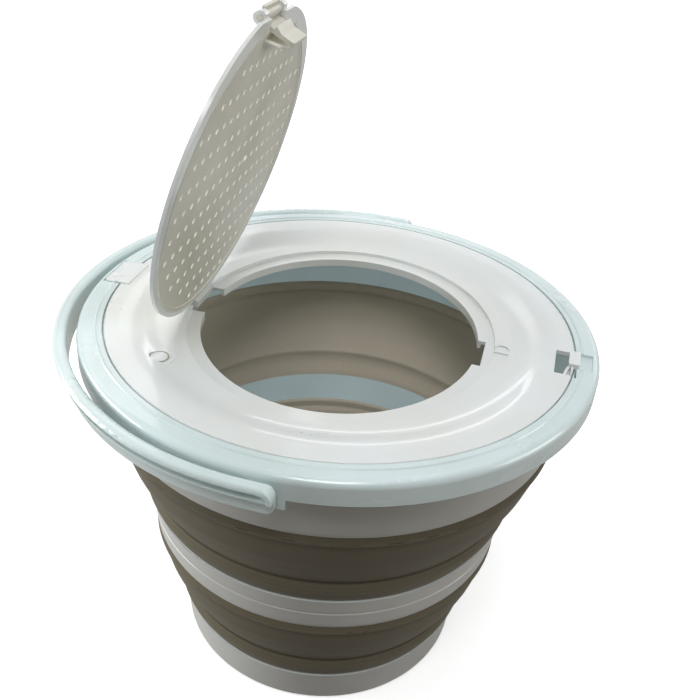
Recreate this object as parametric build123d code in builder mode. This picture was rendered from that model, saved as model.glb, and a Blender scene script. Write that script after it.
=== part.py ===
"""Collapsible bait bucket with a hinged, perforated hatch in its lid.

Millimetres, +Z up. The origin is the centre of the base underside, on the floor.
+X points at the lid catch and the free end of the hatch, -X at the hatch hinge and at
the crown of the folded handle. The handle pivots lie on the Y axis.
"""
import os
from math import cos, radians, sin

from build123d import *

os.makedirs("parts", exist_ok=True)

# ------------------------------------------------------------------ driving dimensions
# Rigid rings and soft bands, from the floor up. Each radius grows from the one below it.
base_height = 24.5
lower_band_height = 68.4
middle_ring_height = 21.8
upper_band_height = 71.7
upper_ring_height = 45.6
collar_plate = 3.0

foot_radius = 95.3
base_flare = 1.9
lower_step = 18.0
middle_flare = 2.0
upper_step = 20.8
upper_flare = 8.4

shell_wall = 2.4
floor_thickness = 2.6
foot_recess = 1.6
foot_ring_width = 9.0
foot_edge = 3.0
floor_round = 6.5
tongue_width = 0.9
tongue_height = 2.0
ring_groove_depth = 0.7
ring_groove_width = 1.6

# Each soft band: a flared skirt, a fold line above its lower end, a collar at its top.
fold_rise = 19.4
lower_fold_step = 4.3
upper_fold_step = 4.6
band_collar_height = 6.7
band_collar_proud = 1.1
fold_groove_depth = 0.8
fold_groove_width = 2.6
bead_radius = 1.2

# Rim collar, pressed over the flange of the upper ring.
collar_overhang = 8.1
collar_skirt = 2.4
collar_skirt_height = 14.0
collar_shoulder = 4.0
collar_leg = 1.8
collar_leg_gap = 1.8
collar_leg_height = 9.0
ledge_width = 4.2
ledge_thickness = 2.2
snap_bead = 0.9
flange_thickness = 2.2
rib_ring_inset = 3.4
rib_ring_height = 0.6

# Handle: a C-section bail, folded flat round the hinge side.
handle_shift = 3.0
handle_gap = 2.8
handle_width = 7.3
handle_top = 8.5
handle_bottom = 9.5
handle_web = 2.9
handle_bead = 3.4
handle_bead_slope = 1.2
handle_bead_wall = 2.3
handle_rib = 1.3
handle_rib_reach = 5.6
handle_hem_draft = 0.6
handle_round = 3.0
handle_tail = 12.0
end_round = 8.0
hem_round = 5.0
end_wall_length = 9.0
end_wall_round = 4.6
pivot_depth = 10.0
peg_radius = 4.0
peg_head = 0.6
peg_head_gap = 1.3
peg_head_length = 1.4
boss_width = 31.0
boss_drop = 20.0

# Lid: a dished plate with an oval opening and a recessed lip round it.
lid_plate = 2.6
lid_edge = 3.0
lid_edge_round = 0.8
lid_flat = 9.4
dish_slope = 27.5
dish_margin = 3.0
dish_depth = 5.4
recess_depth = 2.2
lip_thickness = 2.2
lip_lap_x = 8.0
lip_lap_y = 8.7
lip_root = 3.5
neck_drop = 2.8
neck_wall = 2.0
locating_gap = 0.8
locating_ring_width = 2.2
locating_ring_drop = 4.6
latch_notch_width = 28.0
latch_notch_depth = 3.8
scoop_inset = 14.0
scoop_depth = 0.9
scoop_length = 9.0
scoop_width = 20.0
scoop_rib = 1.6
scoop_rib_y = 2.0
tab_width = 28.0
tab_reach = 10.2
tab_thickness = 2.2
tab_rise = 0.8
tab_round = 2.5
tab_step = 0.5
tab_step_length = 6.5

# Hatch: an oval frame with a rimmed, perforated screen snapped in from below.
hatch_oval = 8.2
hatch_shift = 1.0
hatch_thickness = 2.2
hatch_open_angle = 74.9
hatch_tip_cut = 3.2
screen_inset_x = 6.7
screen_inset_y = 6.6
screen_shift = -3.2
screen_thickness = 1.0
screen_depth = 1.4
screen_wall = 1.8
frame_ledge = 0.8
frame_ledge_width = 2.6
seam_width = 0.9
seam_depth = 1.2
hole_diameter = 3.4
hole_pitch_u = 13.0
hole_pitch_v = 9.7
hole_margin = 4.6
hole_rows = 6
hole_columns = 9
gate_length = 11.0
gate_width = 4.6
gate_depth = 0.4
gate_u = 1.4
gate_v = 9.0
guard_width = 30.0
guard_drop = 10.8
guard_wall = 1.5
guard_setback = 6.2
guard_bow = 2.6
guard_round = 4.5

# Hinge of the hatch.
hinge_margin = 1.7
hinge_drop = 7.4
hinge_pin_radius = 1.25
hinge_lug_width = 6.0
hinge_lug_drop = 3.6
hinge_lug_shift = 1.2
hinge_notch_width = 32.0
hinge_notch_depth = 14.0
knuckle_radius = 3.2
knuckle_width = 24.0
neck_gusset = 3.0
neck_length = 4.6

# Latch lever at the free end of the hatch.
latch_width = 22.0
latch_slot_depth = 12.0
latch_pivot_inset = 3.6
latch_pivot_rise = 2.8
latch_release_angle = 12.0
latch_barrel_radius = 2.4
latch_trunnion_radius = 1.6
clip_width = 5.5
clip_wall = 1.9
clip_mouth = 2.2
clip_root = 0.5
hook_setback = 2.8
hook_plate = 2.2
hook_drop = 21.2
hook_barb = 2.2
barb_top = -8.0
thumb_reach = 4.2
thumb_rise = 0.6
thumb_plate = 1.8

# Lid catch opposite the hinge.
catch_y = 0.4
catch_width = 14.8
catch_length = 6.4
catch_rise = 1.4
catch_inset = 4.2
catch_travel = 2.5
catch_round = 0.9
catch_stem = 2.8
catch_foot = 2.0
catch_foot_height = 2.0
catch_pocket_depth = 1.8
catch_pocket_length = 10.4
catch_pocket_skew = 0.6
window_inset = 11.0
window_length = 9.2
window_width = 25.2
side_slot_y = -14.2
side_slot_bite = 0.6
side_slot_length = 9.8
ledge_gap_extra = 14.0
tongue_plate = 1.6
tongue_rise = 4.2
tongue_floor = 1.2
tongue_reach = 10.2
leaf_bow = 0.8
leaf_end_bow = 1.7

# Hose port in the lid.
port_angle = 222.5
port_offset = 10.0
port_hole_radius = 5.6
port_boss_radius = 8.0
port_boss_rise = 1.4
port_boss_drop = 3.6
port_lift = 1.9
grommet_wall = 0.7
grommet_lip = 1.1
grommet_lip_height = 0.8
plug_stem_radius = 3.4
plug_length = 9.0
plug_cap = 1.6
plug_dome = 0.4
plug_lead = 0.8

# Clearances.
press_gap = 0.3
slide_gap = 0.8
turn_gap = 0.25
rest_gap = 0.1
overcut = 1.0

# ------------------------------------------------------------------ levels and radii
base_top_z = base_height
middle_bottom_z = base_top_z + lower_band_height
middle_top_z = middle_bottom_z + middle_ring_height
upper_bottom_z = middle_top_z + upper_band_height
upper_top_z = upper_bottom_z + upper_ring_height
rim_top_z = upper_top_z + collar_plate
skirt_bottom_z = rim_top_z - collar_skirt_height
flange_low_z = upper_top_z - flange_thickness
ledge_top_z = rim_top_z - lid_edge
dish_z = rim_top_z - dish_depth
shelf_z = dish_z - recess_depth
lip_bottom_z = shelf_z - lip_thickness
neck_bottom_z = lip_bottom_z - neck_drop
pivot_z = rim_top_z - pivot_depth
hinge_z = rim_top_z - hinge_drop
port_low_z = dish_z - port_boss_drop
port_top_z = dish_z + port_lift

base_top_radius = foot_radius + base_flare
lower_fold_radius = base_top_radius + lower_fold_step
middle_bottom_radius = base_top_radius + lower_step
middle_top_radius = middle_bottom_radius + middle_flare
upper_fold_radius = middle_top_radius + upper_fold_step
upper_bottom_radius = middle_top_radius + upper_step
upper_top_radius = upper_bottom_radius + upper_flare
flange_wall_radius = upper_top_radius - flange_thickness * upper_flare / upper_ring_height
collar_radius = upper_top_radius + collar_overhang
collar_bore_radius = upper_top_radius - shell_wall - collar_leg_gap - collar_leg
skirt_inner_radius = collar_radius - collar_skirt
flange_radius = skirt_inner_radius - press_gap
rib_ring_radius = collar_bore_radius + rib_ring_inset
ledge_inner_radius = collar_bore_radius - ledge_width
handle_inner_radius = collar_radius + handle_gap
lid_radius = collar_bore_radius - slide_gap
locating_radius = ledge_inner_radius - locating_gap
lid_rim_radius = collar_bore_radius - lid_flat
dish_radius = lid_rim_radius - dish_slope
recess_y = dish_radius - dish_margin
recess_x = recess_y - hatch_oval
hatch_x = recess_x - slide_gap
hatch_y = recess_y - slide_gap
opening_x = hatch_x - lip_lap_x
opening_y = hatch_y - lip_lap_y
screen_x = hatch_x - screen_inset_x
screen_y = hatch_y - screen_inset_y
window_inner_radius = lid_radius - window_inset
window_y = catch_y + catch_width / 2 + press_gap - window_width / 2

hinge_reach = hatch_x + hinge_margin
hinge_x = hatch_shift - hinge_reach
open_dir = (cos(radians(hatch_open_angle)), 0, sin(radians(hatch_open_angle)))
open_normal = (-sin(radians(hatch_open_angle)), 0, cos(radians(hatch_open_angle)))
hatch_plane = Plane(origin=(hinge_x, 0, hinge_z), x_dir=open_dir, z_dir=open_normal)
plate_low = shelf_z + rest_gap - hinge_z
plate_high = plate_low + hatch_thickness


def near(sketch, *points):
    """Corners of a sketch that stand nearest the given points of its own plane."""
    return [
        min(sketch.vertices(), key=lambda corner: (corner.X - x) ** 2 + (corner.Y - y) ** 2)
        for x, y in points
    ]


def tongue_points(radius, z, side):
    """Tongue in the middle of a ring's wall: up from its top (side 1), down from its foot (-1)."""
    middle = radius - shell_wall / 2
    half = tongue_width / 2 * side
    return [
        (middle + half, z),
        (middle + half, z + side * tongue_height),
        (middle - half, z + side * tongue_height),
        (middle - half, z),
    ]


def band_outline(bottom_radius, bottom_z, fold_radius, top_radius, top_z):
    """Section of a soft band, slotted at both ends for the tongues of the rings."""
    fold_z = bottom_z + fold_rise
    collar_z = top_z - band_collar_height
    proud_radius = top_radius + band_collar_proud
    reach = fold_groove_width / 2
    lower_slope = (fold_radius - bottom_radius) / fold_rise
    upper_slope = (proud_radius - fold_radius) / (collar_z - fold_z)
    return [
        (bottom_radius, bottom_z),
        (fold_radius - reach * lower_slope, fold_z - reach),
        (fold_radius - fold_groove_depth, fold_z),
        (fold_radius + reach * upper_slope, fold_z + reach),
        (proud_radius, collar_z),
        (proud_radius, top_z),
        *reversed(tongue_points(top_radius, top_z, -1)),
        (top_radius - shell_wall, top_z),
        (top_radius - shell_wall, collar_z),
        (fold_radius - shell_wall, fold_z),
        (bottom_radius - shell_wall, bottom_z),
        *reversed(tongue_points(bottom_radius, bottom_z, 1)),
    ]


# ------------------------------------------------------------------ base body
with BuildPart() as base_cup:
    foot_inner = foot_radius - foot_ring_width
    floor_top = foot_recess + floor_thickness
    with BuildSketch(Plane.XZ) as cup_section:
        with BuildLine():
            Polyline(
                (0, foot_recess),
                (foot_inner, foot_recess),
                (foot_inner + foot_recess, 0),
                (foot_radius, 0),
                (base_top_radius, base_top_z),
                *tongue_points(base_top_radius, base_top_z, 1),
                (base_top_radius - shell_wall, base_top_z),
                (foot_radius - shell_wall, floor_top),
                (0, floor_top),
                close=True,
            )
        make_face()
        fillet(near(cup_section, (foot_radius, 0)), radius=foot_edge)
        fillet(near(cup_section, (foot_radius - shell_wall, floor_top)), radius=floor_round)
    revolve(axis=Axis.Z)
base_cup.part.label = "base_cup"
export_step(base_cup.part, "parts/base_cup.step")

# ------------------------------------------------------------------ soft bands
with BuildPart() as lower_band:
    lower_outline = band_outline(
        base_top_radius, base_top_z, lower_fold_radius, middle_bottom_radius, middle_bottom_z
    )
    with BuildSketch(Plane.XZ):
        with BuildLine():
            Polyline(*lower_outline, close=True)
        make_face()
        with Locations((middle_bottom_radius + band_collar_proud, middle_bottom_z - band_collar_height)):
            Circle(bead_radius)
    revolve(axis=Axis.Z)
lower_band.part.label = "lower_band"
export_step(lower_band.part, "parts/lower_band.step")

with BuildPart() as upper_band:
    upper_outline = band_outline(
        middle_top_radius, middle_top_z, upper_fold_radius, upper_bottom_radius, upper_bottom_z
    )
    with BuildSketch(Plane.XZ):
        with BuildLine():
            Polyline(*upper_outline, close=True)
        make_face()
        with Locations((upper_bottom_radius + band_collar_proud, upper_bottom_z - band_collar_height)):
            Circle(bead_radius)
    revolve(axis=Axis.Z)
upper_band.part.label = "upper_band"
export_step(upper_band.part, "parts/upper_band.step")

# ------------------------------------------------------------------ middle ring
with BuildPart() as middle_ring:
    groove_z = (middle_bottom_z + middle_top_z) / 2
    groove_radius = (middle_bottom_radius + middle_top_radius) / 2
    half_groove = ring_groove_width / 2
    with BuildSketch(Plane.XZ):
        with BuildLine():
            Polyline(
                (middle_bottom_radius, middle_bottom_z),
                (groove_radius, groove_z - half_groove),
                (groove_radius - ring_groove_depth, groove_z),
                (groove_radius, groove_z + half_groove),
                (middle_top_radius, middle_top_z),
                *tongue_points(middle_top_radius, middle_top_z, 1),
                (middle_top_radius - shell_wall, middle_top_z),
                (middle_bottom_radius - shell_wall, middle_bottom_z),
                *tongue_points(middle_bottom_radius, middle_bottom_z, -1),
                close=True,
            )
        make_face()
    revolve(axis=Axis.Z)
middle_ring.part.label = "middle_ring"
export_step(middle_ring.part, "parts/middle_ring.step")

# ------------------------------------------------------------------ rim body
with BuildPart() as upper_ring:
    with BuildSketch(Plane.XZ):
        with BuildLine():
            Polyline(
                (upper_bottom_radius, upper_bottom_z),
                (flange_wall_radius, flange_low_z),
                (flange_radius, flange_low_z),
                (flange_radius, upper_top_z),
                (upper_top_radius - shell_wall, upper_top_z),
                (upper_bottom_radius - shell_wall, upper_bottom_z),
                *tongue_points(upper_bottom_radius, upper_bottom_z, -1),
                close=True,
            )
        make_face()
    revolve(axis=Axis.Z)
upper_ring.part.label = "upper_ring"
export_step(upper_ring.part, "parts/upper_ring.step")

with BuildPart() as rim_collar:
    leg_radius = collar_bore_radius + collar_leg
    leg_bottom_z = rim_top_z - collar_leg_height
    ledge_low_z = ledge_top_z - ledge_thickness
    bead_low_z = flange_low_z - rest_gap - 2 * snap_bead
    with BuildSketch(Plane.XZ) as collar_section:
        with BuildLine():
            Polyline(
                (collar_bore_radius, rim_top_z),
                (rib_ring_radius - rib_ring_height, rim_top_z),
                (rib_ring_radius, rim_top_z + rib_ring_height),
                (rib_ring_radius + rib_ring_height, rim_top_z + rib_ring_height),
                (rib_ring_radius + 2 * rib_ring_height, rim_top_z),
                (collar_radius, rim_top_z),
                (collar_radius, skirt_bottom_z),
                (skirt_inner_radius, skirt_bottom_z),
                (skirt_inner_radius, bead_low_z),
                (skirt_inner_radius - snap_bead, bead_low_z + snap_bead),
                (skirt_inner_radius, flange_low_z - rest_gap),
                (skirt_inner_radius, upper_top_z),
                (leg_radius, upper_top_z),
                (leg_radius, leg_bottom_z),
                (collar_bore_radius, leg_bottom_z),
                (collar_bore_radius, ledge_low_z),
                (ledge_inner_radius, ledge_low_z),
                (ledge_inner_radius, ledge_top_z),
                (collar_bore_radius, ledge_top_z),
                close=True,
            )
        make_face()
        fillet(near(collar_section, (collar_radius, rim_top_z)), radius=collar_shoulder)
    revolve(axis=Axis.Z)
    # Skirt runs lower at the two handle pivots.
    with BuildSketch(Plane.XY.offset(rim_top_z - boss_drop)):
        Circle(collar_radius)
        Circle(skirt_inner_radius, mode=Mode.SUBTRACT)
        Rectangle(boss_width, 2 * collar_radius + overcut, mode=Mode.INTERSECT)
    extrude(amount=boss_drop - collar_skirt_height + overcut)
    with BuildSketch(Plane.XZ.offset(collar_radius)):
        with Locations((0, pivot_z)):
            Circle(peg_radius + turn_gap)
    extrude(amount=-2 * collar_skirt, mode=Mode.SUBTRACT)
    with BuildSketch(Plane.XZ.offset(-collar_radius)):
        with Locations((0, pivot_z)):
            Circle(peg_radius + turn_gap)
    extrude(amount=2 * collar_skirt, mode=Mode.SUBTRACT)
    # Pocket for the lid tab, pocket for the catch, and a gap in the ledge under the catch.
    pocket_depth = tab_thickness - tab_rise + rest_gap
    with BuildSketch(Plane.XY.offset(rim_top_z - pocket_depth)):
        with Locations((-(lid_radius + tab_reach / 2), 0)):
            Rectangle(tab_reach + 2 * slide_gap, tab_width + 2 * slide_gap)
    extrude(amount=pocket_depth + overcut, mode=Mode.SUBTRACT)
    with BuildSketch(Plane.XY.offset(rim_top_z - catch_pocket_depth)):
        with Locations(
            (collar_bore_radius + catch_pocket_length / 2 - overcut, catch_y - catch_pocket_skew)
        ):
            Rectangle(catch_pocket_length, catch_width + 2 * catch_pocket_skew + 2 * slide_gap)
    extrude(amount=catch_pocket_depth + overcut, mode=Mode.SUBTRACT)
    with BuildSketch(Plane.XY.offset(leg_bottom_z - overcut)):
        Circle(collar_bore_radius)
        with Locations((collar_bore_radius, window_y)):
            Rectangle(4 * ledge_width, window_width + ledge_gap_extra, mode=Mode.INTERSECT)
    extrude(amount=ledge_top_z - leg_bottom_z + overcut, mode=Mode.SUBTRACT)
    with BuildSketch(Plane.XY.offset(leg_bottom_z - overcut)):
        with Locations((collar_bore_radius, side_slot_y)):
            Rectangle(2 * side_slot_bite, side_slot_length)
    extrude(amount=collar_leg_height + 2 * overcut, mode=Mode.SUBTRACT)
rim_collar.part.label = "rim_collar"
export_step(rim_collar.part, "parts/rim_collar.step")

# ------------------------------------------------------------------ handle
handle_outer = handle_inner_radius + handle_width
handle_web_radius = handle_inner_radius + handle_web
with BuildPart() as handle:
    bail_plane = Plane(origin=(-handle_shift, 0, pivot_z), x_dir=(0, 1, 0), z_dir=(1, 0, 0))
    rib_radius = handle_inner_radius + handle_rib_reach
    with BuildSketch(bail_plane) as bail_section:
        with BuildLine():
            Polyline(
                (handle_inner_radius, handle_top),
                (handle_outer, handle_top),
                (handle_outer, handle_top - handle_bead),
                (handle_web_radius, handle_top - handle_bead - handle_bead_slope),
                (handle_web_radius, handle_rib / 2),
                (rib_radius, handle_rib / 2),
                (rib_radius, -handle_rib / 2),
                (handle_web_radius, -handle_rib / 2),
                (handle_web_radius - handle_hem_draft, -handle_bottom),
                (handle_inner_radius, -handle_bottom),
                close=True,
            )
        make_face()
        fillet(
            near(bail_section, (handle_outer, handle_top), (handle_inner_radius, handle_top)),
            radius=handle_round,
        )
    revolve(axis=Axis((-handle_shift, 0, 0), (0, 0, 1)), revolution_arc=180)
    tail = extrude(bail_section.sketch, amount=handle_shift + handle_tail)
    mirror(tail, about=Plane.XZ)
    # Closed end of the channel: the bead turns down and meets the rib.
    with BuildSketch(Plane.XZ.offset(-handle_web_radius)):
        with Locations((handle_tail - end_wall_length / 2, pivot_z + handle_top / 2)):
            Rectangle(end_wall_length, handle_top)
        with Locations((handle_tail - handle_bead_wall - end_wall_length, pivot_z)):
            RectangleRounded(
                2 * end_wall_length, 2 * (handle_top - handle_bead), end_wall_round, mode=Mode.SUBTRACT
            )
    end_wall = extrude(amount=handle_web - handle_width, mode=Mode.PRIVATE)
    end_plane = bail_plane.offset(handle_shift + handle_tail - end_wall_length)
    with BuildSketch(end_plane) as end_section:
        with Locations(((handle_web_radius + handle_outer) / 2, handle_top / 2)):
            Rectangle(handle_outer - handle_web_radius, handle_top)
        fillet(near(end_section, (handle_outer, handle_top)), radius=handle_round)
    end_block = extrude(amount=end_wall_length, mode=Mode.PRIVATE)
    rounded_wall = end_block & end_wall
    add(rounded_wall)
    add(mirror(rounded_wall, about=Plane.XZ, mode=Mode.PRIVATE))
    # Round both corners of each end.
    for corner_z, side, round_radius in (
        (pivot_z + handle_top, 1, end_round),
        (pivot_z - handle_bottom, -1, hem_round),
    ):
        with BuildSketch(Plane.XZ):
            with Locations(
                (handle_tail - round_radius / 2, corner_z - side * round_radius / 2)
            ):
                Rectangle(round_radius + overcut, round_radius + overcut)
            with Locations((handle_tail - round_radius, corner_z - side * round_radius)):
                Circle(round_radius, mode=Mode.SUBTRACT)
        extrude(amount=handle_outer + overcut, both=True, mode=Mode.SUBTRACT)
    # Snap pegs that turn in the bosses of the rim.
    for side in (1, -1):
        with BuildSketch(Plane.XZ.offset(-side * (handle_inner_radius + handle_web / 2))):
            with Locations((0, pivot_z)):
                Circle(peg_radius)
        extrude(amount=side * (handle_inner_radius + handle_web / 2 - skirt_inner_radius + peg_head_gap))
        with BuildSketch(Plane.XZ.offset(-side * (skirt_inner_radius - peg_head_gap))):
            with Locations((0, pivot_z)):
                Circle(peg_radius + peg_head)
        extrude(amount=side * peg_head_length)
handle.part.label = "handle"
export_step(handle.part, "parts/handle.step")

# ------------------------------------------------------------------ lid body
dish_low_z = dish_z - lid_plate
lid_inner_radius = opening_x - lip_root
dish_middle = ((dish_radius + lid_rim_radius) / 2, (dish_z + rim_top_z) / 2)
catch_inner_x = collar_bore_radius - catch_inset
port_x = (dish_radius + port_offset) * cos(radians(port_angle))
port_y = (dish_radius + port_offset) * sin(radians(port_angle))
with BuildPart() as lid:
    with BuildSketch(Plane.XZ) as dish_section:
        with BuildLine():
            top_low = TangentArc((dish_radius, dish_z), dish_middle, tangent=(1, 0))
            top_high = TangentArc(top_low @ 1, (lid_rim_radius, rim_top_z), tangent=top_low % 1)
            under_low = TangentArc(
                (dish_radius, dish_low_z),
                (dish_middle[0], dish_middle[1] - lid_plate),
                tangent=(1, 0),
            )
            under_high = TangentArc(
                under_low @ 1, (lid_rim_radius, rim_top_z - lid_plate), tangent=under_low % 1
            )
            Line((lid_inner_radius, dish_z), (dish_radius, dish_z))
            Line((lid_inner_radius, dish_low_z), (dish_radius, dish_low_z))
            Line((lid_inner_radius, dish_z), (lid_inner_radius, dish_low_z))
            Polyline(
                (lid_rim_radius, rim_top_z),
                (lid_radius, rim_top_z),
                (lid_radius, ledge_top_z),
                (locating_radius, ledge_top_z),
                (locating_radius, ledge_top_z - locating_ring_drop),
                (locating_radius - locating_ring_width, ledge_top_z - locating_ring_drop),
                (locating_radius - locating_ring_width, rim_top_z - lid_plate),
                (lid_rim_radius, rim_top_z - lid_plate),
            )
        make_face()
        fillet(near(dish_section, (lid_radius, rim_top_z)), radius=lid_edge_round)
    revolve(axis=Axis.Z)
    # Tab over the rim, on the hinge side.
    with BuildSketch(Plane.XY.offset(rim_top_z + tab_rise - tab_thickness)) as tab_plan:
        with Locations((-(lid_radius + tab_reach / 2 - lid_edge), 0)):
            Rectangle(tab_reach + 2 * lid_edge, tab_width)
        fillet(
            near(
                tab_plan,
                (-(lid_radius + tab_reach), tab_width / 2),
                (-(lid_radius + tab_reach), -tab_width / 2),
            ),
            radius=tab_round,
        )
    extrude(amount=tab_thickness)
    with BuildSketch(Plane.XY.offset(rim_top_z + tab_rise - tab_step)):
        with Locations((-(lid_radius + tab_reach - tab_step_length / 2), 0)):
            Rectangle(tab_step_length, tab_width)
    extrude(amount=tab_step, mode=Mode.SUBTRACT)
    # Recessed lip, its step and the short neck round the oval opening.
    with BuildSketch(Plane.XY.offset(lip_bottom_z)):
        with Locations((hatch_shift, 0)):
            Ellipse(recess_x + shell_wall, recess_y + shell_wall)
    extrude(amount=dish_low_z - lip_bottom_z + rest_gap)
    with BuildSketch(Plane.XY.offset(shelf_z)):
        with Locations((hatch_shift, 0)):
            Ellipse(recess_x, recess_y)
    extrude(amount=dish_depth + recess_depth + overcut, mode=Mode.SUBTRACT)
    with BuildSketch(Plane.XY.offset(neck_bottom_z)):
        Ellipse(opening_x + neck_wall, opening_y + neck_wall)
    extrude(amount=neck_drop)
    with BuildSketch(Plane.XY.offset(neck_bottom_z)):
        Ellipse(opening_x, opening_y)
    extrude(amount=rim_top_z - neck_bottom_z, mode=Mode.SUBTRACT)
    # Hinge notch, its two lugs and the bore for the pin.
    for side in (1, -1):
        with BuildSketch(Plane.XY.offset(hinge_z - hinge_lug_drop)):
            with Locations(
                (hinge_x - hinge_lug_shift, side * (hinge_notch_width + hinge_lug_width) / 2)
            ):
                Rectangle(2 * knuckle_radius, hinge_lug_width)
        extrude(amount=hinge_lug_drop + dish_z - hinge_z)
    with BuildSketch(Plane.XY.offset(neck_bottom_z - overcut)):
        with Locations((hinge_x - knuckle_radius - slide_gap + hinge_notch_depth / 2, 0)):
            Rectangle(hinge_notch_depth, hinge_notch_width)
    extrude(amount=rim_top_z - neck_bottom_z, mode=Mode.SUBTRACT)
    with BuildSketch(Plane.XZ):
        with Locations((hinge_x, hinge_z)):
            Circle(hinge_pin_radius)
    extrude(amount=hinge_notch_width / 2 + hinge_lug_width + overcut, both=True, mode=Mode.SUBTRACT)
    # Notch for the latch hook, and the finger scoop with its thin rib.
    with BuildSketch(Plane.XY.offset(neck_bottom_z - overcut)):
        with Locations((opening_x + latch_notch_depth - latch_notch_width / 2, 0)):
            Rectangle(latch_notch_width, latch_notch_width)
    extrude(amount=rim_top_z - neck_bottom_z, mode=Mode.SUBTRACT)
    with BuildSketch(Plane.XY.offset(dish_z - scoop_depth)):
        with Locations((opening_x + scoop_inset, 0)):
            SlotOverall(scoop_width, scoop_length, rotation=90)
        with Locations((opening_x + scoop_inset, scoop_rib_y)):
            Rectangle(scoop_length, scoop_rib, mode=Mode.SUBTRACT)
    extrude(amount=scoop_depth + overcut, mode=Mode.SUBTRACT)
    # Window, slot for the catch and the short slot beside it.
    with BuildSketch(Plane.XY.offset(leg_bottom_z - overcut)):
        with Locations((window_inner_radius + window_length / 2, window_y)):
            Rectangle(window_length, window_width)
        with Locations((catch_inner_x + catch_length / 2, catch_y)):
            Rectangle(catch_length + 2 * catch_travel + overcut, catch_width + 2 * press_gap)
        with Locations((lid_radius, side_slot_y)):
            Rectangle(2 * side_slot_bite, side_slot_length)
    extrude(amount=collar_leg_height + 2 * overcut, mode=Mode.SUBTRACT)
    with BuildSketch(Plane.XY.offset(leg_bottom_z - overcut)):
        with Locations((locating_radius, window_y)):
            Rectangle(3 * locating_ring_width, window_width + ledge_gap_extra)
    extrude(amount=ledge_top_z - leg_bottom_z + overcut, mode=Mode.SUBTRACT)
    # Hose port.
    with BuildSketch(Plane.XY.offset(port_low_z)):
        with Locations((port_x, port_y)):
            Circle(port_boss_radius)
    extrude(amount=dish_z - port_low_z + port_boss_rise)
    with BuildSketch(Plane.XY.offset(port_low_z - overcut)):
        with Locations((port_x, port_y)):
            Circle(port_hole_radius)
    extrude(amount=rim_top_z - port_low_z + overcut, mode=Mode.SUBTRACT)
lid.part.label = "lid"
export_step(lid.part, "parts/lid.step")

with BuildPart() as hinge_pin:
    with BuildSketch(Plane.XZ):
        with Locations((hinge_x, hinge_z)):
            Circle(hinge_pin_radius)
    extrude(amount=hinge_notch_width / 2 + hinge_lug_width, both=True)
hinge_pin.part.label = "hatch_hinge_pin"
export_step(hinge_pin.part, "parts/hatch_hinge_pin.step")

with BuildPart() as port_grommet:
    grommet_low_z = port_low_z - grommet_lip_height
    with BuildSketch(Plane.XZ.offset(-port_y)):
        with BuildLine():
            Polyline(
                (port_x + plug_stem_radius + rest_gap, grommet_low_z),
                (port_x + port_hole_radius + grommet_lip, grommet_low_z),
                (port_x + port_hole_radius + grommet_lip, port_low_z),
                (port_x + port_hole_radius, port_low_z),
                (port_x + port_hole_radius, port_top_z),
                (port_x + port_hole_radius - grommet_wall, port_top_z),
                (port_x + port_hole_radius - grommet_wall, port_top_z - plug_cap),
                (port_x + plug_stem_radius + rest_gap, port_top_z - plug_cap),
                close=True,
            )
        make_face()
    revolve(axis=Axis((port_x, port_y, 0), (0, 0, 1)))
port_grommet.part.label = "port_grommet"
export_step(port_grommet.part, "parts/port_grommet.step")

with BuildPart() as hose_plug:
    cap_radius = port_hole_radius - grommet_wall - rest_gap
    with BuildSketch(Plane.XZ.offset(-port_y)):
        with BuildLine():
            Polyline(
                (port_x, port_top_z + plug_dome),
                (port_x, port_top_z - plug_length),
                (port_x + plug_stem_radius - plug_lead, port_top_z - plug_length),
                (port_x + plug_stem_radius, port_top_z - plug_length + 2 * plug_lead),
                (port_x + plug_stem_radius, port_top_z - plug_cap + rest_gap / 2),
                (port_x + cap_radius, port_top_z - plug_cap + rest_gap / 2),
                (port_x + cap_radius, port_top_z - rest_gap),
            )
            TangentArc(
                (port_x, port_top_z + plug_dome), (port_x + cap_radius, port_top_z - rest_gap), tangent=(1, 0)
            )
        make_face()
    revolve(axis=Axis((port_x, port_y, 0), (0, 0, 1)))
hose_plug.part.label = "hose_plug"
export_step(hose_plug.part, "parts/hose_plug.step")

# Snap catch: a thumb block over the rim, a foot that keeps it under the lid, and beside it a
# spring tongue: a bowed leaf with a floor.
with BuildPart() as lid_catch:
    with BuildSketch(Plane.XY.offset(rim_top_z - catch_pocket_depth + rest_gap)):
        with Locations((catch_inner_x + catch_length / 2, catch_y)):
            RectangleRounded(catch_length, catch_width, catch_round)
    extrude(amount=catch_pocket_depth + catch_rise)
    with BuildSketch(Plane.XY.offset(ledge_top_z - catch_foot_height)):
        with Locations((catch_inner_x + catch_stem / 2, catch_y)):
            Rectangle(catch_stem, catch_width)
    extrude(amount=lid_edge + catch_foot_height)
    with BuildSketch(Plane.XY.offset(ledge_top_z - catch_foot_height)):
        with Locations((catch_inner_x + catch_stem / 2, catch_y)):
            Rectangle(catch_stem, catch_width + 2 * catch_foot)
    extrude(amount=catch_foot_height - rest_gap)
    leaf_start = (catch_inner_x + tongue_plate / 2, catch_y - catch_width / 2 + tongue_plate / 2)
    leaf_end = (catch_inner_x - leaf_end_bow, leaf_start[1] - tongue_reach)
    leaf_middle = (catch_inner_x - leaf_bow, (leaf_start[1] + leaf_end[1]) / 2)
    tongue_edge = window_inner_radius + window_length - press_gap
    with BuildSketch(Plane.XY.offset(rim_top_z - tongue_rise)):
        with BuildLine() as leaf_line:
            ThreePointArc(leaf_start, leaf_middle, leaf_end)
        trace(leaf_line.line, line_width=tongue_plate)
    extrude(amount=tongue_rise - 2 * press_gap)
    with BuildSketch(Plane.XY.offset(rim_top_z - tongue_rise)):
        with BuildLine():
            Polyline(leaf_start, leaf_end, (tongue_edge, leaf_end[1]), (tongue_edge, leaf_start[1]), close=True)
        make_face()
    extrude(amount=tongue_floor)
lid_catch.part.label = "lid_catch"
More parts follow.
